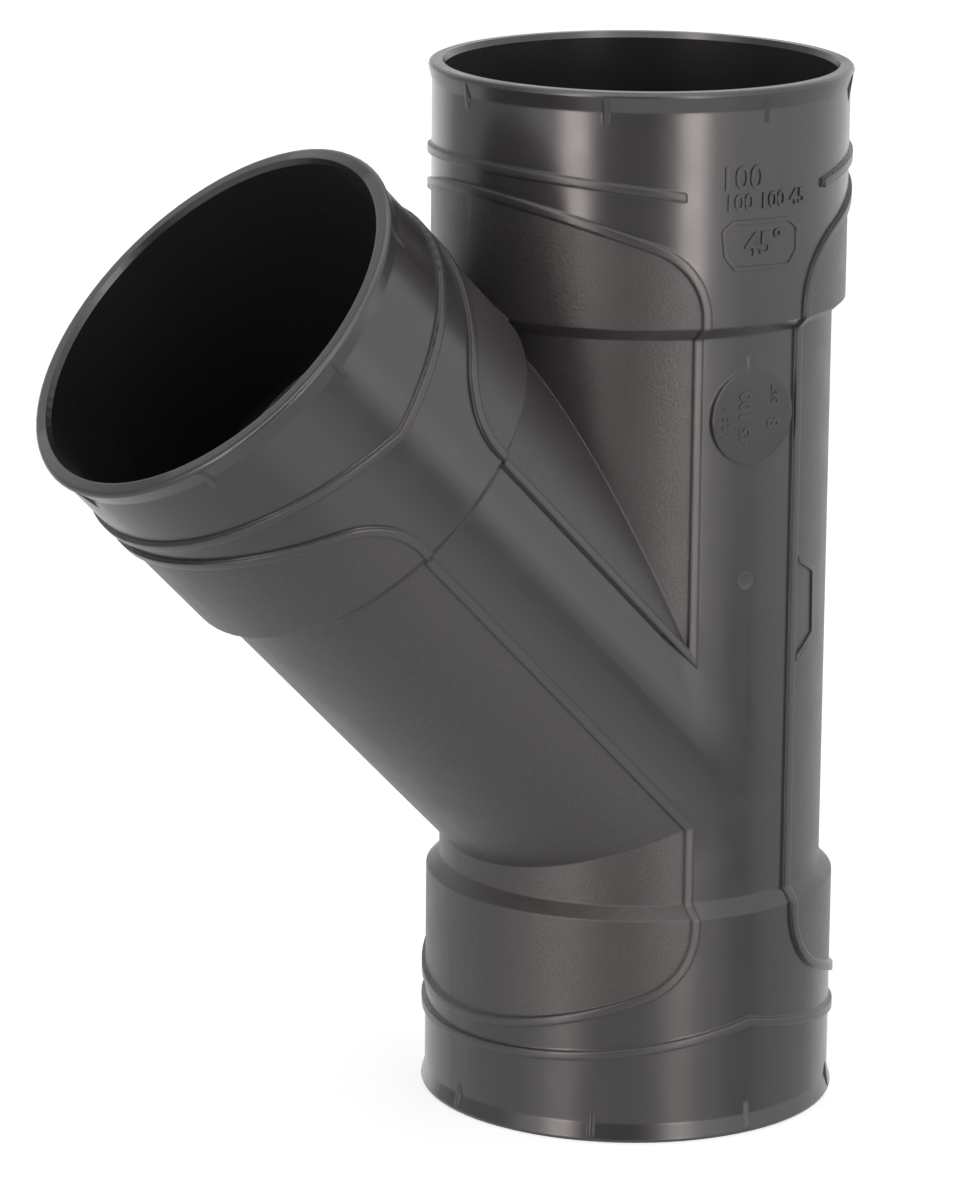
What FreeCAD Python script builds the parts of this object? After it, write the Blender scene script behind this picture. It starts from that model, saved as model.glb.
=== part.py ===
import FreeCAD, Part

import math
import os

from FreeCAD import Placement, Rotation, Vector

# Lateral wye fitting: one moulded body with three equal sockets for glued pipe.
# The run stands upright on its lower mouth, and the branch leaves it towards -X and up.
# The mould parts along the XZ plane, so the ribs on the front (-Y) and the back (+Y) are alike.
# Sizes are in millimetres and degrees, and the origin is the centre of the lower mouth.

# Limbs, measured from the point where the axes cross
branch_angle = 45.0
arm_length = 183.0
foot_length = 89.5

# Body between the sockets
waterway_radius = 47.0
body_wall = 3.0

# The pipe that it joins, whose inside is flush with the waterway, and the play of a pipe in a socket
pipe_wall = 3.0
pipe_clearance = 0.1

# Sockets
socket_depth = 60.0
socket_wall = 3.3
socket_skin_length = 59.5
shoulder_length = 3.25

# Lip round each mouth: its edge is broken in two steps, and it tapers back to the socket
lead_in_depth = 1.5
lead_in_flare = 0.65
lip_height = 1.0
lip_edge = 1.2
lip_edge_step = 0.35
lip_taper = 3.8

# Setting-out marks under each lip, as small ramps that start just below its widest line
marks_per_socket = 8
mark_width = 1.4
mark_start = 1.6
mark_end = 8.4

# All raised ribs
rib_width = 2.2
rib_height = 1.0

# Collar rib near each mouth: two bowed legs that meet in a corner at the middle of the socket
collar_depth = 30.3
collar_rise = 8.6
collar_bow = 0.8
collar_gap = 42.8

# Border rib: it edges the smooth strap and turns outwards on each socket
strap_half_width = 15.8
border_bend_radius = 20.0
border_slope = 22.5
border_end_depth = 28.0

# Round flat pad with its key, on the front of the arm
pad_radius = 12.4
pad_height = 0.2
pad_above_crossing = 99.5
key_width = 3.4
key_reach = 3.0

# Radii and heights that follow from these sizes
body_radius = waterway_radius + body_wall
bore_radius = waterway_radius + pipe_wall + pipe_clearance
socket_radius = bore_radius + socket_wall
lip_radius = socket_radius + lip_height
parting_radius = socket_radius + rib_height
overrun = 6.0

UP = Vector(0, 0, 1)
ACROSS = Vector(0, 1, 0)
ORIGIN = Vector(0, 0, 0)
crossing = Vector(0, 0, foot_length)

# A limb is drawn upright from the crossing, and its placement puts it where it belongs
ARM = Placement(crossing, Rotation())
FOOT = Placement(crossing, Rotation(ACROSS, 180))
BRANCH = Placement(crossing, Rotation(ACROSS, -branch_angle))

# Each limb: its placement, its length, and the angle to the next limb on its own -X and +X side
STRAIGHT = 180
LIMBS = [
    (ARM, arm_length, {-1: branch_angle, 1: STRAIGHT}),
    (FOOT, foot_length, {-1: STRAIGHT, 1: STRAIGHT - branch_angle}),
    (BRANCH, arm_length, {-1: STRAIGHT - branch_angle, 1: branch_angle}),
]


def on_limb(shape, limb):
    """A copy of a shape drawn on an upright limb, put where that limb is."""
    copy = shape.copy()
    copy.Placement = limb.multiply(copy.Placement)
    return copy


def turned(corners):
    """Solid of revolution about Z from (radius, height) corners, closed along the axis."""
    first, last = corners[0], corners[-1]
    closed = [(0, first[1])] + corners + [(0, last[1]), (0, first[1])]
    outline = Part.makePolygon([Vector(radius, 0, height) for radius, height in closed])
    return Part.Face(outline).revolve(ORIGIN, UP, 360)


def wye(profile, body):
    """Join a run and a branch that both end in the same profile.

    profile(length) lists the corners of one limb from its body to its mouth, and body is the radius
    that both keep between the sockets.
    """
    arm = profile(arm_length)
    foot = [(radius, -height) for radius, height in profile(foot_length)]
    run = turned(foot[::-1] + arm)
    run.Placement = ARM
    branch = turned([(body, 0)] + arm)
    branch.Placement = BRANCH
    return run.fuse(branch)


def skin_profile(length):
    """Outside of one limb: shoulder, socket, tapered lip and its broken edge."""
    shoulder_top = length - socket_skin_length
    return [
        (body_radius, shoulder_top - shoulder_length),
        (socket_radius, shoulder_top),
        (socket_radius, length - lip_edge - lip_taper),
        (lip_radius, length - lip_edge),
        (lip_radius - lip_edge_step, length - lip_edge_step),
        (lip_radius - lip_edge, length),
    ]


def bore_profile(length):
    """Inside of one limb: pipe stop, socket bore and lead-in, run out past the rim."""
    stop = length - socket_depth
    return [
        (waterway_radius, stop),
        (bore_radius, stop),
        (bore_radius, length - lead_in_depth),
        (bore_radius + lead_in_flare, length),
        (bore_radius + lead_in_flare, length + overrun),
    ]


def rib_profile(length):
    """The space that the ribs of one limb fill: its skin, grown by the height of a rib."""
    shoulder_top = length - socket_skin_length
    return [
        (body_radius + rib_height, 0),
        (body_radius + rib_height, shoulder_top - shoulder_length),
        (socket_radius + rib_height, shoulder_top),
        (socket_radius + rib_height, length - lip_edge),
    ]


def raised(band, space):
    """The rib that stands over a side-view band, from the front of the space to the back."""
    depth = parting_radius + overrun
    prism = band.copy()
    prism.translate(ACROSS * -depth)
    return prism.extrude(ACROSS * (2 * depth)).common(space)


def collar_band(length):
    """Side view of the collar rib on an upright limb: two bowed legs of a rib's width."""
    reach = parting_radius + overrun
    crown = length - collar_depth
    rise = collar_rise * reach / parting_radius
    half = UP * (rib_width / 2)
    edges = []
    for side in (-1, 1):
        middle_of_socket = Vector(0, 0, crown)
        tip = Vector(side * reach, 0, crown + rise)
        bowed = (middle_of_socket + tip) * 0.5 + UP * collar_bow
        for offset in (-half, half):
            leg = Part.Arc(tip + offset, bowed + offset, middle_of_socket + offset)
            edges.append(leg.toShape())
        edges.append(Part.makeLine(tip - half, tip + half))
    return Part.Face(Part.Wire(Part.__sortEdges__(edges)))


def border_band(side, length, angle):
    """Side view of the border rib on one side of an upright limb.

    It starts where it meets the rib of the next limb, at the given angle, runs up along the strap
    and bends outwards past the parting line. Both its edges turn about the same centre.
    """
    slope = math.radians(border_slope)
    outward = Vector(side * math.cos(slope), 0, math.sin(slope))
    upward = Vector(-side * math.sin(slope), 0, math.cos(slope))
    at_parting = Vector(side * parting_radius, 0, length - border_end_depth)
    corner = at_parting - outward * ((parting_radius - strap_half_width) / math.cos(slope))
    setback = border_bend_radius * math.tan((math.pi / 2 - slope) / 2)
    centre = corner + Vector(side * border_bend_radius, 0, -setback)
    tracks = []
    for offset in (-rib_width / 2, rib_width / 2):
        across = strap_half_width + offset
        bend = border_bend_radius - offset
        foot = Vector(side * across, 0, across / math.tan(math.radians(angle) / 2))
        start = Vector(side * across, 0, centre.z)
        middle = centre + (corner - centre).normalize() * bend
        end = centre + upward * bend
        tip = end + outward * ((parting_radius + overrun - abs(end.x)) / math.cos(slope))
        tracks.append([foot, start, middle, end, tip])
    edges = [Part.makeLine(tracks[0][0], tracks[1][0]), Part.makeLine(tracks[0][-1], tracks[1][-1])]
    for foot, start, middle, end, tip in tracks:
        edges += [Part.makeLine(foot, start), Part.Arc(start, middle, end).toShape(), Part.makeLine(end, tip)]
    return Part.Face(Part.Wire(Part.__sortEdges__(edges)))


def ribs():
    """All the raised ribs, which reach into the body below them."""
    shapes = []
    for limb, length, angles in LIMBS:
        space = turned(rib_profile(length))
        collar = raised(collar_band(length), space)
        if limb is ARM:
            collar = collar.cut(collar_opening())
        borders = [raised(border_band(side, length, angle), space) for side, angle in angles.items()]
        shapes += [on_limb(shape, limb) for shape in borders + [collar]]
    return shapes


def collar_opening():
    """What the collar rib of the arm leaves bare at the front, as a block on the upright limb."""
    depth = parting_radius + overrun
    corner = Vector(-collar_gap / 2, -depth, arm_length - socket_skin_length)
    return Part.makeBox(collar_gap, depth, socket_skin_length, corner)


def marks():
    """The setting-out marks, spread evenly round each lip from the front."""
    root = bore_radius + socket_wall / 2
    shapes = []
    for limb, length, _ in LIMBS:
        top = length - mark_start
        foot = length - mark_end
        sides = [(root, top), (lip_radius, top), (socket_radius, foot), (root, foot), (root, top)]
        ramp = Part.Face(Part.makePolygon([Vector(-mark_width / 2, -out, up) for out, up in sides]))
        ramp = ramp.extrude(Vector(mark_width, 0, 0))
        for index in range(marks_per_socket):
            one = ramp.copy()
            one.rotate(ORIGIN, UP, index * 360 / marks_per_socket)
            shapes.append(on_limb(one, limb))
    return shapes


def pad():
    """The round flat pad on the front of the arm, with the small key at its top."""
    root = waterway_radius + body_wall / 2
    thickness = body_radius + pad_height - root
    centre = crossing + Vector(0, -root, pad_above_crossing)
    disc = Part.makeCylinder(pad_radius, thickness, centre, -ACROSS)
    corner = centre + Vector(-key_width / 2, -thickness, 0)
    key = Part.makeBox(key_width, thickness, pad_radius + key_reach, corner)
    return disc.fuse(key)


def fitting_body():
    """The whole moulded fitting."""
    body = wye(skin_profile, body_radius).multiFuse(ribs() + marks() + [pad()])
    return body.cut(wye(bore_profile, waterway_radius))


if __name__ == "__main__":
    os.makedirs("parts", exist_ok=True)
    fitting = fitting_body()
    fitting.exportStep("parts/fitting_body.step")
    print("solids", len(fitting.Solids), "valid", fitting.isValid(), "volume", round(fitting.Volume))
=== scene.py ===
"""Dressed model of a lateral wye fitting, with its stage, studio light and camera.

The fitting is one injection moulding in dark anthracite rigid PVC. It stands on its lower socket. The
straps, the ribs and the socket ends are semi-gloss, and the fields that the border ribs enclose are
fine-grained. All sizes are in millimetres unless a name says otherwise, and scene units are metres.
"""

import logging
import math
from dataclasses import dataclass
from enum import Enum

import bpy
import numpy as np
from mathutils import Matrix, Vector


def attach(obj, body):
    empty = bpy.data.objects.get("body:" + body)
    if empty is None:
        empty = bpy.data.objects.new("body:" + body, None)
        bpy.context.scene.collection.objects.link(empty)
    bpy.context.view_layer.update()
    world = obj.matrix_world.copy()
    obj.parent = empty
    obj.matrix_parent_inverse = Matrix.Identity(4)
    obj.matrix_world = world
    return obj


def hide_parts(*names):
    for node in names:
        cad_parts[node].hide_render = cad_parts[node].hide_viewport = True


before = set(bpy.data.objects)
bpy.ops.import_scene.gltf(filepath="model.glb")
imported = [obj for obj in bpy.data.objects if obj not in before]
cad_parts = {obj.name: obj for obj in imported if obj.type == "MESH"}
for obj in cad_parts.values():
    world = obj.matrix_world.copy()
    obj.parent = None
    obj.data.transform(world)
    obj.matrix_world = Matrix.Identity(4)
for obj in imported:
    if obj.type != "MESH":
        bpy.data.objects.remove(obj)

log = logging.getLogger("wye_fitting")

MM = 0.001
NODE = "fitting_body"
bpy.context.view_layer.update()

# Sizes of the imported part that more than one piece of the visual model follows
CROSSING_Z = 89.5
BODY_RADIUS = 50.0
SOCKET_RADIUS = 53.4
PAD_FACE = 50.2

# Points nearer to each other than this are merged
MERGE_DISTANCE = 0.002

# Shading of the raised pieces: edges sharper than the first are broken, than the second stay sharp
BROKEN_EDGE_ANGLE = math.radians(50)
SHARP_EDGE_ANGLE = math.radians(35)

# The slow flow of the melt, and the patches that handling leaves
RIPPLE_LENGTH = 25.0
PATCH_LENGTH = 9.0


class Region(Enum):
    """The finishes that the mould gives, and the bores' painted shade, in the order of the piece's material
    slots.
    """

    SMOOTH = 0
    GRAINED = 1
    BORE = 2
    RIB = 3


class Limb(Enum):
    """The three limbs, each with the direction in which it leaves the crossing."""

    ARM = (0.0, 0.0, 1.0)
    FOOT = (0.0, 0.0, -1.0)
    BRANCH = (-math.sqrt(0.5), 0.0, math.sqrt(0.5))


def linear(hex_colour: str) -> tuple[float, float, float, float]:
    """Turn an sRGB hex colour into linear light.

    Args:
        hex_colour: Six hex digits, with or without a leading #.

    Returns:
        Linear red, green and blue, and an alpha of one.
    """
    digits = hex_colour.lstrip("#")
    parts = [int(digits[place : place + 2], 16) / 255 for place in (0, 2, 4)]
    values = [c / 12.92 if c <= 0.04045 else ((c + 0.055) / 1.055) ** 2.4 for c in parts]
    return (*values, 1.0)


def add_node(
    tree: bpy.types.NodeTree, kind: str, settings: dict | None = None, **inputs
) -> bpy.types.Node:
    """Add one node, with its settings and with values or links for its inputs.

    Args:
        tree: The node tree that takes the node.
        kind: The node's type name in Blender.
        settings: Properties of the node itself.
        **inputs: Input name, or i and a number, to a value or to the output socket that feeds it.

    Returns:
        The new node.
    """
    node = tree.nodes.new(kind)
    for name, value in (settings or {}).items():
        setattr(node, name, value)
    for name, value in inputs.items():
        key = int(name[1:]) if name[0] == "i" and name[1:].isdigit() else name.replace("_", " ")
        if isinstance(value, bpy.types.NodeSocket):
            tree.links.new(value, node.inputs[key])
        else:
            node.inputs[key].default_value = value
    return node


@dataclass(frozen=True)
class MouldedPvc:
    """Rigid PVC as it leaves a steel mould.

    The smooth parts of the mould are polished with stone, which leaves a semi-gloss skin. The grained
    parts are spark-eroded, which scatters light in fine specks. The cores that form the bores are
    drawn out along the limb and polished, so the bores are plain; their darker colour is painted
    shade of the deep interiors. The slots that form the ribs are too narrow to polish, so the ribs are
    satin.
    """

    name: str
    colour: str
    roughness: float
    roughness_spread: float
    edge_radius_mm: float
    grain_mm: float
    grain_depth: float
    ripple_depth: float
    speck: float = 0.0

    def material(self) -> bpy.types.Material:
        """Build the material.

        Returns:
            A material whose pattern scales follow from sizes in millimetres.
        """
        made = bpy.data.materials.new(self.name)
        made.use_nodes = True
        tree = made.node_tree
        tree.nodes.clear()
        place = add_node(tree, "ShaderNodeTexCoord").outputs["Object"]
        # Grain of the mould: fine pits that break the gloss into specks, lighter and darker
        grain = add_node(
            tree,
            "ShaderNodeTexNoise",
            Vector=place,
            Scale=1 / (self.grain_mm * MM),
            Detail=3.0,
            Roughness=0.6,
        ).outputs["Fac"]
        # Slow flow of the melt: a long ripple that bends the reflections slightly
        ripple = add_node(
            tree, "ShaderNodeTexNoise", Vector=place, Scale=1 / (RIPPLE_LENGTH * MM), Detail=1.5
        ).outputs["Fac"]
        # Handling: patches that are a little duller or shinier
        patches = add_node(
            tree, "ShaderNodeTexNoise", Vector=place, Scale=1 / (PATCH_LENGTH * MM), Detail=4.0
        ).outputs["Fac"]
        rough = add_node(
            tree,
            "ShaderNodeMapRange",
            Value=patches,
            From_Min=0.3,
            From_Max=0.7,
            To_Min=self.roughness - self.roughness_spread,
            To_Max=self.roughness + self.roughness_spread,
        ).outputs["Result"]
        rippled = add_node(
            tree, "ShaderNodeBump", Strength=1.0, Distance=self.ripple_depth * MM, Height=ripple
        ).outputs[0]
        if self.edge_radius_mm:
            # No moulded edge is sharp: the light turns over each rib and shoulder within this radius
            rounded = add_node(tree, "ShaderNodeBevel", {"samples": 6}, Radius=self.edge_radius_mm * MM)
            tree.links.new(rounded.outputs[0], rippled.node.inputs["Normal"])
        grained = add_node(
            tree,
            "ShaderNodeBump",
            Strength=1.0,
            Distance=self.grain_depth * MM,
            Height=grain,
            Normal=rippled,
        ).outputs[0]
        shade = add_node(
            tree,
            "ShaderNodeMapRange",
            Value=grain,
            From_Min=0.35,
            From_Max=0.75,
            To_Min=1.0 - self.speck,
            To_Max=1.0 + self.speck,
        ).outputs["Result"]
        tint = add_node(
            tree, "ShaderNodeVectorMath", {"operation": "SCALE"}, i0=linear(self.colour)[:3], Scale=shade
        ).outputs[0]
        skin = add_node(
            tree, "ShaderNodeBsdfPrincipled", Base_Color=tint, Roughness=rough, IOR=1.54, Normal=grained
        ).outputs[0]
        add_node(tree, "ShaderNodeOutputMaterial", Surface=skin)
        return made


SMOOTH_PVC = MouldedPvc(
    name="smooth_moulded_pvc",
    colour="#3d3a3b",
    roughness=0.24,
    roughness_spread=0.02,
    edge_radius_mm=0.8,
    grain_mm=0.9,
    grain_depth=0.004,
    ripple_depth=0.06,
)
GRAINED_PVC = MouldedPvc(
    name="spark_grained_pvc",
    colour="#3e3b3b",
    roughness=0.42,
    roughness_spread=0.03,
    edge_radius_mm=0.8,
    grain_mm=0.7,
    grain_depth=0.09,
    ripple_depth=0.06,
    speck=0.22,
)
PLAIN_PVC = MouldedPvc(
    name="raised_sign_pvc",
    colour="#3d3a3b",
    roughness=0.32,
    roughness_spread=0.02,
    edge_radius_mm=0.0,
    grain_mm=0.9,
    grain_depth=0.004,
    ripple_depth=0.06,
)
# Bores: a darker colour that paints in the shade inside the sockets and the waterway
BORE_SHADE_PVC = MouldedPvc(
    name="bore_painted_shade_pvc",
    colour="#2f2e2f",
    roughness=0.24,
    roughness_spread=0.02,
    edge_radius_mm=0.0,
    grain_mm=0.9,
    grain_depth=0.003,
    ripple_depth=0.05,
)
RIB_PVC = MouldedPvc(
    name="slot_moulded_pvc",
    colour="#3f3c3c",
    roughness=0.31,
    roughness_spread=0.02,
    edge_radius_mm=1.1,
    grain_mm=0.9,
    grain_depth=0.004,
    ripple_depth=0.04,
)


@dataclass
class Moulding:
    """The fitting's single moulding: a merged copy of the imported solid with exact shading.

    The sizes are those of the part's source. They tell the finishes apart and give the exact
    normals. The slacks say how far, in millimetres, a face may lie from a nominal surface, and the
    limits on facing, turn and tilt are sines or cosines of a normal's angle.
    """

    crossing_z: float = CROSSING_Z
    arm_length: float = 183.0
    foot_length: float = 89.5
    body_radius: float = BODY_RADIUS
    parting_radius: float = 54.4
    lip_radius: float = 54.4
    lip_edge: float = 1.2
    strap_half_width: float = 15.8
    rib_width: float = 2.2
    bend_radius: float = 20.0
    border_slope: float = 22.5
    border_end_depth: float = 28.0
    socket_depth: float = 60.0
    socket_radius: float = SOCKET_RADIUS
    socket_skin_length: float = 59.5
    shoulder_length: float = 3.25
    lip_taper: float = 3.8
    pad_face: float = PAD_FACE
    waterway_radius: float = 47.0
    socket_bore_radius: float = 50.75
    skin_slack: float = 0.5
    bore_slack: float = 0.2
    rib_slack: float = 0.3
    border_slack: float = 3.0
    lip_slack: float = 4.0
    wall_slack: float = 4.0
    plane_slack: float = 0.02
    edge_slack: float = 0.01
    largest_turn: float = 7.0
    core_facing: float = 0.3
    least_turn: float = 0.05
    edge_tilt: tuple[float, float] = (0.15, 0.99)
    finishes: tuple[MouldedPvc, ...] = (SMOOTH_PVC, GRAINED_PVC, BORE_SHADE_PVC, RIB_PVC)

    def length(self, limb: Limb) -> float:
        """Length of a limb from the crossing to its mouth."""
        return self.foot_length if limb is Limb.FOOT else self.arm_length

    def local(self, points: np.ndarray, limb: Limb) -> tuple[np.ndarray, np.ndarray, np.ndarray]:
        """Split points into where they lie along and around one limb.

        Args:
            points: Points in millimetres.
            limb: The limb.

        Returns:
            Height above the crossing along the limb, sideways offset in side view, and the vector from
            the limb's axis to each point.
        """
        along = np.array(limb.value)
        across = np.cross([0.0, 1.0, 0.0], along)
        offset = points - np.array([0.0, 0.0, self.crossing_z])
        height = offset @ along
        return height, offset @ across, offset - height[:, None] * along

    def owner(self, points: np.ndarray) -> np.ndarray:
        """Number of the limb along which each point lies farthest from the crossing."""
        return np.stack([self.local(points, limb)[0] for limb in Limb]).argmax(axis=0)

    def grained(self, points: np.ndarray) -> np.ndarray:
        """Tell which points of the skin lie in a grained field.

        Args:
            points: Middles of faces, in millimetres.

        Returns:
            True for each point outside the strap and below the border rib of its own limb.
        """
        owner = self.owner(points)
        result = np.zeros(len(points), bool)
        slope = math.radians(self.border_slope)
        half_rib = self.rib_width / 2
        for index, limb in enumerate(Limb):
            height, sideways, out = self.local(points, limb)
            side = np.abs(sideways)
            at_parting = self.length(limb) - self.border_end_depth
            corner = at_parting - (self.parting_radius - self.strap_half_width) * math.tan(slope)
            centre = corner - self.bend_radius * math.tan((math.pi / 2 - slope) / 2)
            line = at_parting - (self.parting_radius - side) * math.tan(slope)
            line -= half_rib / math.cos(slope)
            reach = np.hypot(side - self.strap_half_width - self.bend_radius, height - centre)
            in_bend = (side < self.strap_half_width + self.bend_radius) & (height > centre)
            inside = np.where(in_bend, reach < self.bend_radius - half_rib, height < line)
            inside &= side > self.strap_half_width + half_rib
            inside &= height < line + self.border_slack
            inside &= np.linalg.norm(out, axis=1) > self.body_radius - self.skin_slack
            result |= inside & (owner == index)
        return result

    def bored(self, points: np.ndarray, normals: np.ndarray) -> np.ndarray:
        """Tell which faces the cores of the mould form, which take the bores' painted shade.

        Args:
            points: Middles of faces, in millimetres.
            normals: Normals of the faces.

        Returns:
            True for each face of a socket bore or of the waterway.
        """
        result = np.zeros(len(points), bool)
        for limb in Limb:
            height, _, out = self.local(points, limb)
            radius = np.linalg.norm(out, axis=1)
            inward = np.sum(out * normals, axis=1) < -self.core_facing * radius
            socket = height > self.length(limb) - self.socket_depth - self.skin_slack
            reach = np.where(socket, self.socket_bore_radius, self.waterway_radius) + self.bore_slack
            result |= inward & (height > 0) & (radius < reach)
        return result

    def ribbed(self, points: np.ndarray) -> np.ndarray:
        """Tell which faces stand on the ribs.

        Args:
            points: Middles of faces, in millimetres.

        Returns:
            True for each face that lies clear of the skin and of the flat pad, below its limb's lip.
        """
        owner = self.owner(points)
        result = np.zeros(len(points), bool)
        for index, limb in enumerate(Limb):
            height, _, out = self.local(points, limb)
            top = self.length(limb) - self.socket_skin_length
            shoulder = (top - self.shoulder_length, top)
            skin = np.interp(height, shoulder, (self.body_radius, self.socket_radius))
            clear = np.linalg.norm(out, axis=1) > skin + self.rib_slack
            below_lip = height < self.length(limb) - self.lip_edge - self.lip_taper - self.lip_slack
            result |= clear & below_lip & (owner == index)
        result &= np.abs(points[:, 1] + self.pad_face) > self.plane_slack
        return result

    def exact_normals(self, mesh: bpy.types.Mesh) -> np.ndarray:
        """Work out the normal of each face corner from the surface of revolution that it lies on.

        Args:
            mesh: The merged mesh, in metres.

        Returns:
            One normal for each corner. The corners of other faces keep their face's normal.
        """
        count = len(mesh.loops)
        owner = np.empty(count, np.int64)
        mesh.loops.foreach_get("vertex_index", owner)
        places = np.empty(len(mesh.vertices) * 3)
        mesh.vertices.foreach_get("co", places)
        places = places.reshape(-1, 3) / MM
        flat = np.empty(len(mesh.polygons) * 3)
        mesh.polygons.foreach_get("normal", flat)
        sizes = np.empty(len(mesh.polygons), np.int64)
        mesh.polygons.foreach_get("loop_total", sizes)
        normals = np.repeat(flat.reshape(-1, 3), sizes, axis=0)
        corners = places[owner]
        best = np.full(count, math.cos(math.radians(self.largest_turn)))
        chosen = normals.copy()
        flat_pad = np.abs(corners[:, 1] + self.pad_face) < self.plane_slack
        for limb in Limb:
            along = np.array(limb.value)
            _, _, out = self.local(corners, limb)
            radius = np.linalg.norm(out, axis=1)
            radial = out / np.maximum(radius, 1e-9)[:, None]
            tilt = normals @ along
            turn = np.sqrt(np.clip(1 - tilt**2, 0, 1))
            inward = np.sign(np.sum(radial * normals, axis=1))
            guess = radial * (turn * inward)[:, None] + along * tilt[:, None]
            match = np.sum(guess * normals, axis=1)
            outer = (radius > self.body_radius - self.wall_slack) & ~flat_pad
            better = (match > best) & outer & (turn > self.least_turn)
            chosen[better] = guess[better]
            best[better] = match[better]
        return self.rounded_lips(corners, normals, chosen)

    def rounded_lips(self, corners: np.ndarray, normals: np.ndarray, chosen: np.ndarray) -> np.ndarray:
        """Shade the two steps of each lip's edge as one rounding.

        Args:
            corners: Places of the face corners.
            normals: Normals of their faces.
            chosen: Normals so far.

        Returns:
            The normals, with those of the lip edges turned about the middle of the rounding.
        """
        for limb in Limb:
            along = np.array(limb.value)
            height, _, out = self.local(corners, limb)
            radius = np.linalg.norm(out, axis=1)
            radial = out / np.maximum(radius, 1e-9)[:, None]
            rise = height - (self.length(limb) - self.lip_edge)
            reach = radius - (self.lip_radius - self.lip_edge)
            tilt = normals @ along
            edge = (rise > -self.edge_slack) & (reach > -self.edge_slack)
            edge &= (tilt > self.edge_tilt[0]) & (tilt < self.edge_tilt[1])
            turned = radial * reach[:, None] + along * rise[:, None]
            turned /= np.maximum(np.linalg.norm(turned, axis=1), 1e-9)[:, None]
            chosen[edge] = turned[edge]
        return chosen

    def build(self) -> bpy.types.Object:
        """Make the dressed moulding.

        Returns:
            The piece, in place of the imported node.
        """
        bpy.ops.object.select_all(action="DESELECT")
        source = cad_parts[NODE]
        piece = bpy.data.objects.new("moulding", source.data.copy())
        bpy.context.scene.collection.objects.link(piece)
        piece.select_set(True)
        bpy.context.view_layer.objects.active = piece
        bpy.ops.object.mode_set(mode="EDIT")
        bpy.ops.mesh.select_all(action="SELECT")
        bpy.ops.mesh.remove_doubles(threshold=MERGE_DISTANCE * MM)
        bpy.ops.object.mode_set(mode="OBJECT")
        mesh = piece.data
        middles = np.array([face.center for face in mesh.polygons]) / MM
        facing = np.array([face.normal for face in mesh.polygons])
        grained = self.grained(middles)
        mesh.materials.clear()
        for finish in self.finishes:
            mesh.materials.append(finish.material())
        slots = np.where(grained, Region.GRAINED.value, Region.SMOOTH.value)
        # The bores take the darker colour: painted shade of the deep interiors
        slots[self.bored(middles, facing)] = Region.BORE.value
        slots[self.ribbed(middles)] = Region.RIB.value
        mesh.polygons.foreach_set("material_index", slots.astype(np.int32))
        mesh.polygons.foreach_set("use_smooth", np.ones(len(mesh.polygons), bool))
        mesh.normals_split_custom_set(self.exact_normals(mesh).tolist())
        mesh.update()
        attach(piece, "root")
        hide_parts(NODE)
        log.info("moulding: %d faces, %d of them grained", len(mesh.polygons), int(grained.sum()))
        return piece


@dataclass
class RaisedFrame:
    """A thin raised line round a sign field on the front of the arm.

    Corners are in front view, in millimetres: sideways from the axis, and height.
    """

    name: str
    corners: tuple[tuple[float, float], ...]
    skin_radius: float
    line_width: float
    height: float
    sunk: float = 0.4
    open_left_of: float | None = None
    steps: int = 5

    def build(self) -> bpy.types.Object:
        """Model the line flat, wrap it round the skin and give it its height.

        Returns:
            The piece.
        """
        bpy.ops.object.select_all(action="DESELECT")
        bpy.ops.mesh.primitive_circle_add(vertices=len(self.corners), radius=0.01, fill_type="NGON")
        piece = bpy.context.object
        piece.name = self.name
        for vertex, (sideways, up) in zip(piece.data.vertices, self.corners):
            vertex.co = (sideways * MM, -self.skin_radius * MM, up * MM)
        bpy.ops.object.mode_set(mode="EDIT")
        bpy.ops.mesh.select_all(action="SELECT")
        bpy.ops.mesh.inset(thickness=self.line_width * MM)
        bpy.ops.mesh.delete(type="FACE")
        bpy.ops.mesh.select_all(action="SELECT")
        if self.open_left_of is not None:
            cut = (self.open_left_of * MM, 0, 0)
            bpy.ops.mesh.bisect(plane_co=cut, plane_no=(1, 0, 0), clear_inner=True)
            bpy.ops.mesh.select_all(action="SELECT")
        bpy.ops.mesh.subdivide(number_cuts=self.steps)
        bpy.ops.object.mode_set(mode="OBJECT")
        wrap(piece, self.skin_radius + self.height)
        finish_raised(piece, self.height + self.sunk, self.height / 2)
        return piece


@dataclass
class RaisedFigures:
    """Plain figures, raised on the front of the arm or on its flat pad.

    The middle is in front view, in millimetres: sideways from the axis, and height. A turn of 90
    degrees makes the figures read upwards.
    """

    name: str
    text: str
    middle: tuple[float, float]
    size: float
    skin_radius: float
    height: float = 0.22
    sunk: float = 0.4
    stroke: float = 0.1
    turn: float = 0.0
    flat: bool = False

    def shape(self) -> bpy.types.Object:
        """Make the figures as a flat mesh in front of the run.

        Returns:
            The flat figures.
        """
        bpy.ops.object.select_all(action="DESELECT")
        bpy.ops.object.text_add(rotation=(math.pi / 2, -math.radians(self.turn), 0))
        figures = bpy.context.object
        figures.data.body = self.text
        figures.data.size = self.size * MM
        figures.data.align_x = "CENTER"
        figures.data.align_y = "CENTER"
        figures.data.resolution_u = 4
        figures.data.offset = self.stroke * MM
        figures.location = (self.middle[0] * MM, -self.skin_radius * MM, self.middle[1] * MM)
        bpy.ops.object.convert(target="MESH")
        figures.name = self.name
        bpy.ops.object.transform_apply(location=True, rotation=True, scale=True)
        return figures

    def build(self) -> bpy.types.Object:
        """Lay the figures on the skin or on the pad and give them their height.

        Returns:
            The piece.
        """
        figures = self.shape()
        if self.flat:
            for vertex in figures.data.vertices:
                vertex.co.y = -(self.skin_radius + self.height) * MM
        else:
            wrap(figures, self.skin_radius + self.height)
        finish_raised(figures, self.height + self.sunk, 0.0)
        return figures


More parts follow.
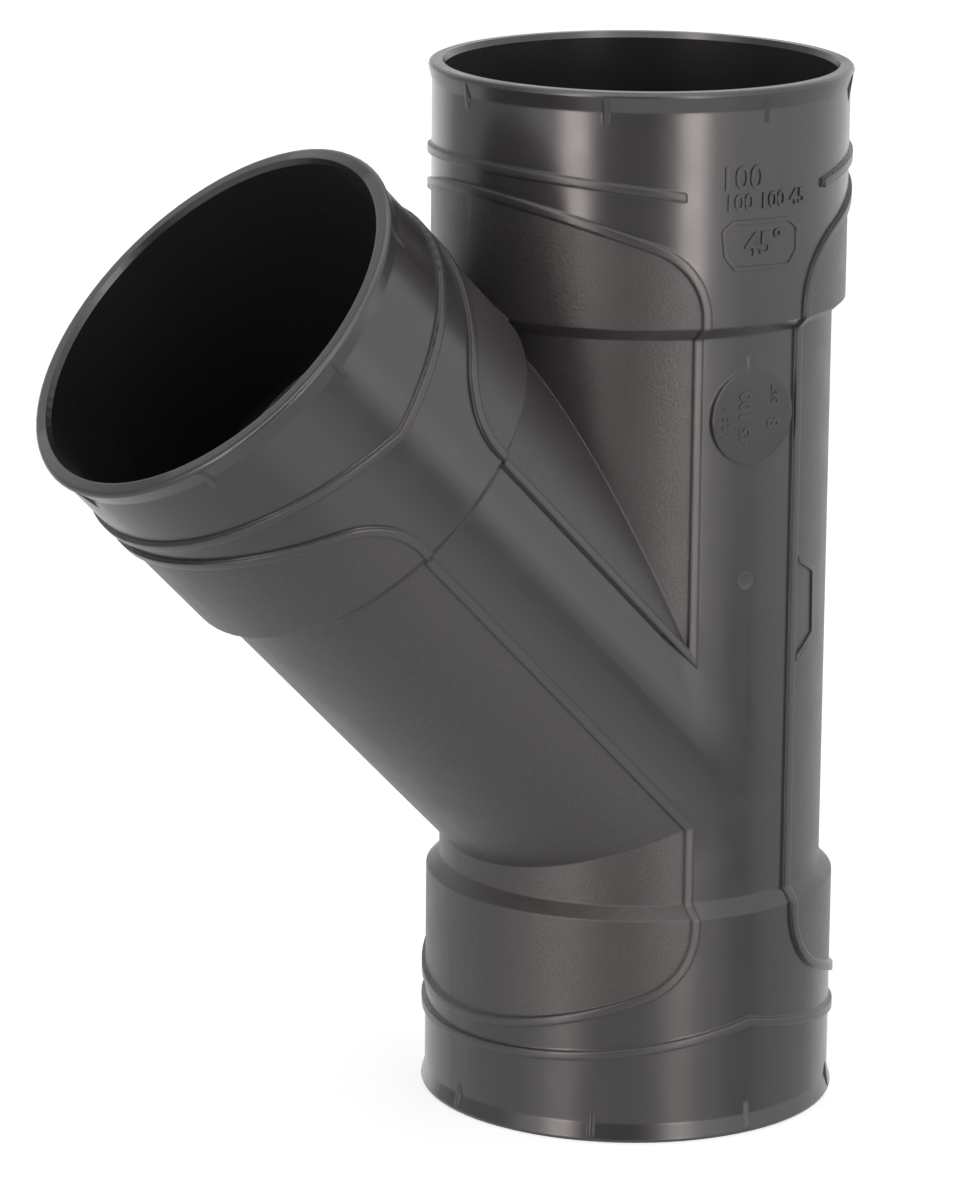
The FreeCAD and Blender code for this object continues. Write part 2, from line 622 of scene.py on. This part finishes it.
@dataclass
class CreaseBlend:
    """Hollow blend where the skins of the run and the branch meet inside the smooth strap.

    Both bodies have one radius, so in front view the crease is straight from the crossing, and the
    difference in depth of the two skins grows with the distance along it and across it.
    """

    name: str
    direction: float
    half_width: float
    rib_line: float = 15.4
    crossing_z: float = CROSSING_Z
    body_radius: float = BODY_RADIUS
    half_branch_angle: float = 22.5
    steps: tuple[int, int] = (48, 16)

    def build(self) -> list[bpy.types.Object]:
        """Lay the blend at the front and its twin at the back.

        Returns:
            The two pieces.
        """
        return [self.side(f"{self.name}_{end}", face) for end, face in (("front", -1), ("back", 1))]

    def side(self, name: str, face: int) -> bpy.types.Object:
        """Shape a plain grid into the hollow on one side of the fitting.

        Args:
            name: The piece's name.
            face: -1 for the front and 1 for the back.

        Returns:
            The piece.
        """
        turn = math.radians(self.direction)
        along = Vector((-math.sin(turn), 0, math.cos(turn)))
        across = Vector((math.cos(turn), 0, math.sin(turn)))
        half = math.radians(self.half_branch_angle)
        slope = 4 * math.sin(half) * math.cos(half) / (2 * self.body_radius)
        bpy.ops.object.select_all(action="DESELECT")
        bpy.ops.mesh.primitive_grid_add(x_subdivisions=self.steps[0], y_subdivisions=self.steps[1], size=2)
        piece = bpy.context.object
        piece.name = name
        crossing = Vector((0, 0, self.crossing_z))
        for vertex in piece.data.vertices:
            aside = vertex.co.y * self.half_width
            reach = (self.rib_line + abs(math.cos(turn) * aside)) / math.sin(turn)
            length = (vertex.co.x + 1) / 2 * reach
            place = along * length + across * aside
            off_run = abs(place.x)
            off_branch = abs(place.x * math.cos(2 * half) + place.z * math.sin(2 * half))
            depth = math.sqrt(self.body_radius**2 - min(off_run, off_branch) ** 2)
            fill = self.half_width * slope * length / 4 * (1 - abs(vertex.co.y)) ** 2
            place.y = face * (depth + fill)
            vertex.co = (place + crossing) * MM
        outwards = sum(side.normal.y for side in piece.data.polygons) * face > 0
        if not outwards:
            bpy.ops.object.mode_set(mode="EDIT")
            bpy.ops.mesh.select_all(action="SELECT")
            bpy.ops.mesh.flip_normals()
            bpy.ops.object.mode_set(mode="OBJECT")
        bpy.ops.object.shade_smooth()
        piece.data.materials.append(SMOOTH_PVC.material())
        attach(piece, "root")
        log.info("%s: %d faces", name, len(piece.data.polygons))
        return piece


@dataclass
class GateScar:
    """The shallow round cup with a low rim that is left where the melt entered the mould."""

    middle: tuple[float, float] = (-1.1, 146.4)
    radius: float = 2.5
    rim: float = 0.12
    rim_width: float = 0.5
    hollow_share: float = 0.9
    skin_radius: float = BODY_RADIUS
    sunk: float = 0.3

    def build(self) -> bpy.types.Object:
        """Model the cup from a disc: a raised rim and a hollow inside it.

        Returns:
            The piece.
        """
        bpy.ops.object.select_all(action="DESELECT")
        bpy.ops.mesh.primitive_circle_add(
            vertices=48,
            radius=self.radius * MM,
            fill_type="NGON",
            rotation=(math.pi / 2, 0, 0),
            location=(self.middle[0] * MM, -self.skin_radius * MM, self.middle[1] * MM),
        )
        piece = bpy.context.object
        piece.name = "gate_scar"
        bpy.ops.object.transform_apply(location=True, rotation=True, scale=True)
        bpy.ops.object.mode_set(mode="EDIT")
        bpy.ops.mesh.select_all(action="SELECT")
        bpy.ops.mesh.inset(thickness=self.rim_width * MM)
        bpy.ops.mesh.inset(thickness=self.rim_width * MM)
        bpy.ops.transform.translate(value=(0, self.rim * self.hollow_share * MM, 0))
        bpy.ops.mesh.inset(thickness=self.rim_width * MM)
        bpy.ops.object.mode_set(mode="OBJECT")
        for vertex in piece.data.vertices:
            sideways = vertex.co.x / MM
            hollow = vertex.co.y / MM + self.skin_radius
            out = self.skin_radius + self.rim - hollow
            vertex.co.y = -math.sqrt(out**2 - sideways**2) * MM
        finish_raised(piece, self.rim + self.sunk, self.rim / 2)
        return piece


# Figures on the flat pad, in rows that read upwards: name, text, middle and size
PAD_ROWS = (
    ("pad_figures_left", "1 2 3 4", (-8.3, 188.0), 2.9),
    ("pad_figures_middle", "45 100", (-2.2, 188.6), 5.0),
    ("pad_figures_upper", "567", (6.9, 194.0), 3.0),
    ("pad_figures_lower", "8", (6.6, 186.6), 5.4),
)

SIGNS = (
    RaisedFrame(
        name="upper_sign_frame",
        corners=(
            (-8.5, 227.1),
            (8.6, 226.7),
            (11.8, 230.6),
            (11.6, 237.0),
            (8.2, 239.7),
            (-9.4, 240.0),
            (-12.3, 237.4),
            (-11.6, 230.8),
        ),
        skin_radius=SOCKET_RADIUS,
        line_width=1.2,
        height=0.35,
    ),
    RaisedFigures("angle_figures", "45°", (0.0, 233.4), 8.4, SOCKET_RADIUS, height=0.35),
    RaisedFigures("size_figures", "100", (-6.8, 250.3), 8.4, SOCKET_RADIUS, height=0.35),
    RaisedFigures("limb_figures", "100 100 45", (1.0, 244.3), 5.6, SOCKET_RADIUS, height=0.35),
    *(RaisedFigures(*row, skin_radius=PAD_FACE, height=0.2, turn=90.0, flat=True) for row in PAD_ROWS),
    RaisedFrame(
        name="lower_sign_frame",
        corners=(
            (12.0, 118.2),
            (18.4, 122.6),
            (26.5, 127.8),
            (26.2, 145.1),
            (17.8, 149.9),
            (12.0, 153.2),
        ),
        skin_radius=BODY_RADIUS,
        line_width=1.2,
        height=0.5,
        open_left_of=17.9,
    ),
    GateScar(),
    CreaseBlend("upper_crease", direction=22.5, half_width=6.0),
    CreaseBlend("lower_crease", direction=112.5, half_width=9.0),
)


def wrap(piece: bpy.types.Object, radius: float) -> None:
    """Wrap a piece that lies flat in front of the run round a cylinder of that radius.

    Args:
        piece: The flat piece, whose place is in its mesh.
        radius: Radius of the cylinder in millimetres.
    """
    for vertex in piece.data.vertices:
        vertex.co.y = -math.sqrt((radius * MM) ** 2 - vertex.co.x**2)


def finish_raised(piece: bpy.types.Object, depth: float, edge: float) -> None:
    """Give a wrapped sheet its depth into the skin and its broken edge, and let it ride.

    Args:
        piece: The wrapped sheet.
        depth: Thickness in millimetres, from its face into the moulding.
        edge: Width of the broken edge in millimetres, or zero for none.
    """
    bpy.context.view_layer.objects.active = piece
    bpy.ops.object.mode_set(mode="EDIT")
    bpy.ops.mesh.select_all(action="SELECT")
    bpy.ops.mesh.remove_doubles(threshold=MERGE_DISTANCE * MM)
    bpy.ops.object.mode_set(mode="OBJECT")
    for face in piece.data.polygons:
        if face.normal.y > 0:
            face.flip()
    piece.data.update()
    solid = piece.modifiers.new("depth", "SOLIDIFY")
    solid.thickness = depth * MM
    solid.offset = -1.0
    bpy.ops.object.modifier_apply(modifier=solid.name)
    if edge:
        broken = piece.modifiers.new("edge", "BEVEL")
        broken.width = edge * MM
        broken.segments = 2
        broken.angle_limit = BROKEN_EDGE_ANGLE
        bpy.ops.object.modifier_apply(modifier=broken.name)
    bpy.ops.object.mode_set(mode="EDIT")
    bpy.ops.mesh.select_all(action="SELECT")
    bpy.ops.mesh.normals_make_consistent(inside=False)
    bpy.ops.object.mode_set(mode="OBJECT")
    bpy.ops.object.shade_smooth_by_angle(angle=SHARP_EDGE_ANGLE)
    piece.data.materials.clear()
    piece.data.materials.append(PLAIN_PVC.material())
    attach(piece, "root")
    log.info("%s: %d faces", piece.name, len(piece.data.polygons))


@dataclass(frozen=True)
class StudioCard:
    """A soft-edged light or dark card that the gloss of the plastic shows.

    Angles are in degrees. Azimuth is measured from the camera's side, positive to the right.
    """

    azimuth: float
    half_width: float
    low: float
    high: float
    strength: float
    softness: float


@dataclass
class Studio:
    """Pale floor, plain soft light and the camera.

    The cards are what the gloss shows, each hung in front of the ones before it. The unlit bearings
    are dim for the matt light alone.
    """

    camera_azimuth: float = -34.354
    camera_pitch: float = 13.986
    camera_roll: float = 0.554
    distance: float = 1473.886
    target: tuple[float, float, float] = (-46.829, 0.0, 136.96)
    focal_px: float = 5755.17
    frame_height_px: float = 1200.0
    surround: float = 1.0
    light_level: float = 1.75
    light_overhead: float = 0.15
    light_heights: tuple[float, float] = (0.1, 0.85)
    warm_levels: tuple[float, float] = (1.5, 6.0)
    floor_radius: float = 6.0
    floor_glow: float = 0.7
    unlit: tuple[StudioCard, ...] = (
        StudioCard(azimuth=-8.5, half_width=24, low=-95, high=60, strength=0.1, softness=14),
        StudioCard(azimuth=-165, half_width=40, low=-95, high=60, strength=0.25, softness=20),
    )
    cards: tuple[StudioCard, ...] = (
        StudioCard(azimuth=0, half_width=180, low=3, high=18, strength=0.82, softness=5),
        StudioCard(azimuth=0, half_width=180, low=60, high=95, strength=2.6, softness=12),
        StudioCard(azimuth=-8, half_width=65, low=33, high=58, strength=3.0, softness=10),
        StudioCard(azimuth=18, half_width=40, low=-52, high=-27, strength=1.5, softness=10),
        StudioCard(azimuth=-157, half_width=22, low=-13, high=1, strength=1.55, softness=8),
        StudioCard(azimuth=-98, half_width=30, low=-12, high=55, strength=0.66, softness=8),
        StudioCard(azimuth=128, half_width=34, low=-13, high=55, strength=1.3, softness=8),
        StudioCard(azimuth=70, half_width=28, low=-13, high=55, strength=1.55, softness=10),
        StudioCard(azimuth=-54, half_width=10, low=-12.5, high=55, strength=1.9, softness=12),
        StudioCard(azimuth=42, half_width=14, low=-13, high=55, strength=2.2, softness=14),
        StudioCard(azimuth=-8.5, half_width=20, low=-11.5, high=25, strength=0.2, softness=4),
        StudioCard(azimuth=-36.9, half_width=7.4, low=-14.5, high=0, strength=12.8, softness=5),
        StudioCard(azimuth=-36.9, half_width=7.4, low=0, high=55, strength=7.0, softness=5),
        StudioCard(azimuth=28.2, half_width=6.8, low=-14.2, high=0, strength=13.2, softness=5),
        StudioCard(azimuth=28.2, half_width=6.8, low=0, high=55, strength=5.8, softness=5),
        StudioCard(azimuth=-42, half_width=15, low=-22, high=-14, strength=1.25, softness=9),
        StudioCard(azimuth=24, half_width=12, low=-22, high=-14, strength=1.25, softness=9),
        StudioCard(azimuth=101, half_width=31, low=-23, high=-14.5, strength=0.75, softness=5),
        StudioCard(azimuth=67, half_width=11, low=-9.5, high=0, strength=2.5, softness=3),
        StudioCard(azimuth=66, half_width=11, low=-18.5, high=-12.8, strength=0.02, softness=3),
    )

    def camera(self) -> bpy.types.Object:
        """Place the camera that was solved from the photograph.

        Returns:
            The scene's camera.
        """
        azimuth, pitch, roll = (
            math.radians(angle) for angle in (self.camera_azimuth, self.camera_pitch, self.camera_roll)
        )
        back = Vector(
            (math.sin(azimuth) * math.cos(pitch), -math.cos(azimuth) * math.cos(pitch), math.sin(pitch))
        )
        level = Vector((0, 0, 1)).cross(back).normalized()
        upright = back.cross(level)
        right = level * math.cos(roll) + upright * math.sin(roll)
        up = upright * math.cos(roll) - level * math.sin(roll)
        data = bpy.data.cameras.new("camera")
        data.sensor_width = 36.0
        data.lens = self.focal_px / self.frame_height_px * data.sensor_width
        data.clip_start = 0.05
        data.clip_end = 20.0
        camera = bpy.data.objects.new("camera", data)
        bpy.context.scene.collection.objects.link(camera)
        turn = Matrix((right, up, back)).transposed().to_4x4()
        place = (Vector(self.target) + back * self.distance) * MM
        camera.matrix_world = Matrix.Translation(place) @ turn
        bpy.context.scene.camera = camera
        return camera

    def floor(self) -> bpy.types.Object:
        """Lay the pale floor, which keeps the fitting's shadow.

        Returns:
            The floor.
        """
        bpy.ops.object.select_all(action="DESELECT")
        bpy.ops.mesh.primitive_circle_add(vertices=96, radius=self.floor_radius, fill_type="NGON")
        floor = bpy.context.object
        floor.name = "floor"
        paper = bpy.data.materials.new("white_paper_sweep")
        paper.use_nodes = True
        tree = paper.node_tree
        tree.nodes.clear()
        matt = add_node(tree, "ShaderNodeBsdfDiffuse", Color=linear("#f4f4f4")).outputs[0]
        seen = add_node(tree, "ShaderNodeLightPath").outputs["Is Camera Ray"]
        glow = add_node(
            tree, "ShaderNodeMath", {"operation": "MULTIPLY"}, i0=seen, i1=self.floor_glow
        ).outputs[0]
        bright = add_node(tree, "ShaderNodeEmission", Color=linear("#ffffff"), Strength=glow).outputs[0]
        both = add_node(tree, "ShaderNodeAddShader", i0=matt, i1=bright).outputs[0]
        add_node(tree, "ShaderNodeOutputMaterial", Surface=both)
        floor.data.materials.append(paper)
        floor.visible_glossy = False
        return floor

    def world(self) -> None:
        """Surround the fitting with white, and show its gloss the soft cards of the studio."""
        world = bpy.data.worlds.new("studio")
        bpy.context.scene.world = world
        # The gloss and the matt light differ, so each ray looks the world up by itself
        world.cycles.sampling_method = "NONE"
        world.use_nodes = True
        tree = world.node_tree
        tree.nodes.clear()
        direction = add_node(tree, "ShaderNodeTexCoord").outputs["Generated"]
        parts = add_node(tree, "ShaderNodeSeparateXYZ", Vector=direction).outputs
        azimuth = math.radians(self.camera_azimuth)
        right = (math.cos(azimuth), math.sin(azimuth), 0.0)
        front = (math.sin(azimuth), -math.cos(azimuth), 0.0)
        side, towards = (
            add_node(
                tree, "ShaderNodeVectorMath", {"operation": "DOT_PRODUCT"}, i0=direction, i1=axis
            ).outputs["Value"]
            for axis in (right, front)
        )
        bearing = add_node(tree, "ShaderNodeMath", {"operation": "ARCTAN2"}, i0=side, i1=towards).outputs[0]
        rise = add_node(tree, "ShaderNodeMath", {"operation": "ARCSINE"}, i0=parts["Z"]).outputs[0]
        level = self.surround
        for card in self.cards:
            level = self.hang(tree, card, bearing, rise, level)
        # Broad light from the sides and the front, and little from above, where no lamp hangs
        spread = add_node(
            tree,
            "ShaderNodeMapRange",
            {"interpolation_type": "SMOOTHSTEP"},
            Value=parts["Z"],
            From_Min=self.light_heights[0],
            From_Max=self.light_heights[1],
            To_Min=self.light_level,
            To_Max=self.light_overhead,
        ).outputs["Result"]
        for card in self.unlit:
            spread = self.hang(tree, card, bearing, rise, spread)
        path = add_node(tree, "ShaderNodeLightPath").outputs
        seen = add_node(
            tree, "ShaderNodeMix", {"data_type": "FLOAT"}, i0=path["Is Camera Ray"], i2=spread, i3=1.0
        ).outputs[0]
        shown = add_node(
            tree, "ShaderNodeMix", {"data_type": "FLOAT"}, i0=path["Is Glossy Ray"], i2=seen, i3=level
        ).outputs[0]
        # The bright cards are a little warmer than the white room
        warmth = add_node(
            tree,
            "ShaderNodeMapRange",
            Value=shown,
            From_Min=self.warm_levels[0],
            From_Max=self.warm_levels[1],
        ).outputs["Result"]
        colour = add_node(
            tree,
            "ShaderNodeMix",
            {"data_type": "RGBA"},
            i0=warmth,
            i6=linear("#ffffff"),
            i7=linear("#fff4f1"),
        ).outputs[2]
        light = add_node(tree, "ShaderNodeBackground", Color=colour, Strength=shown).outputs[0]
        add_node(tree, "ShaderNodeOutputWorld", Surface=light)

    @staticmethod
    def hang(
        tree: bpy.types.NodeTree,
        card: StudioCard,
        bearing: bpy.types.NodeSocket,
        rise: bpy.types.NodeSocket,
        behind: bpy.types.NodeSocket | float,
    ) -> bpy.types.NodeSocket:
        """Hang one card in front of what is there already.

        Args:
            tree: The world's node tree.
            card: The card.
            bearing: Azimuth from the camera's side, in radians.
            rise: Elevation, in radians.
            behind: Brightness of what the card covers.

        Returns:
            Brightness with the card in place.
        """
        soft = math.radians(card.softness)
        away = add_node(
            tree, "ShaderNodeMath", {"operation": "SUBTRACT"}, i0=bearing, i1=math.radians(card.azimuth)
        ).outputs[0]
        away = add_node(tree, "ShaderNodeMath", {"operation": "ABSOLUTE"}, i0=away).outputs[0]
        masks = []
        edges = (
            (away, math.radians(card.half_width), -1),
            (rise, math.radians(card.low), 1),
            (rise, math.radians(card.high), -1),
        )
        for value, edge, sign in edges:
            masks.append(
                add_node(
                    tree,
                    "ShaderNodeMapRange",
                    {"interpolation_type": "SMOOTHSTEP"},
                    Value=value,
                    From_Min=edge - sign * soft / 2,
                    From_Max=edge + sign * soft / 2,
                ).outputs["Result"]
            )
        mask = masks[0]
        for other in masks[1:]:
            mask = add_node(tree, "ShaderNodeMath", {"operation": "MULTIPLY"}, i0=mask, i1=other).outputs[0]
        return add_node(
            tree, "ShaderNodeMix", {"data_type": "FLOAT"}, i0=mask, i2=behind, i3=card.strength
        ).outputs[0]

    def build(self) -> None:
        """Set up the floor, the light and the camera."""
        self.floor()
        self.world()
        self.camera()
        bpy.context.scene.view_settings.view_transform = "Standard"
        log.info("studio: floor, %d cards and the camera", len(self.cards))


def main() -> None:
    """Build the fitting and its studio."""
    logging.basicConfig(level=logging.INFO)
    Moulding().build()
    for piece in SIGNS:
        piece.build()
    Studio().build()


if __name__ == "__main__":
    main()
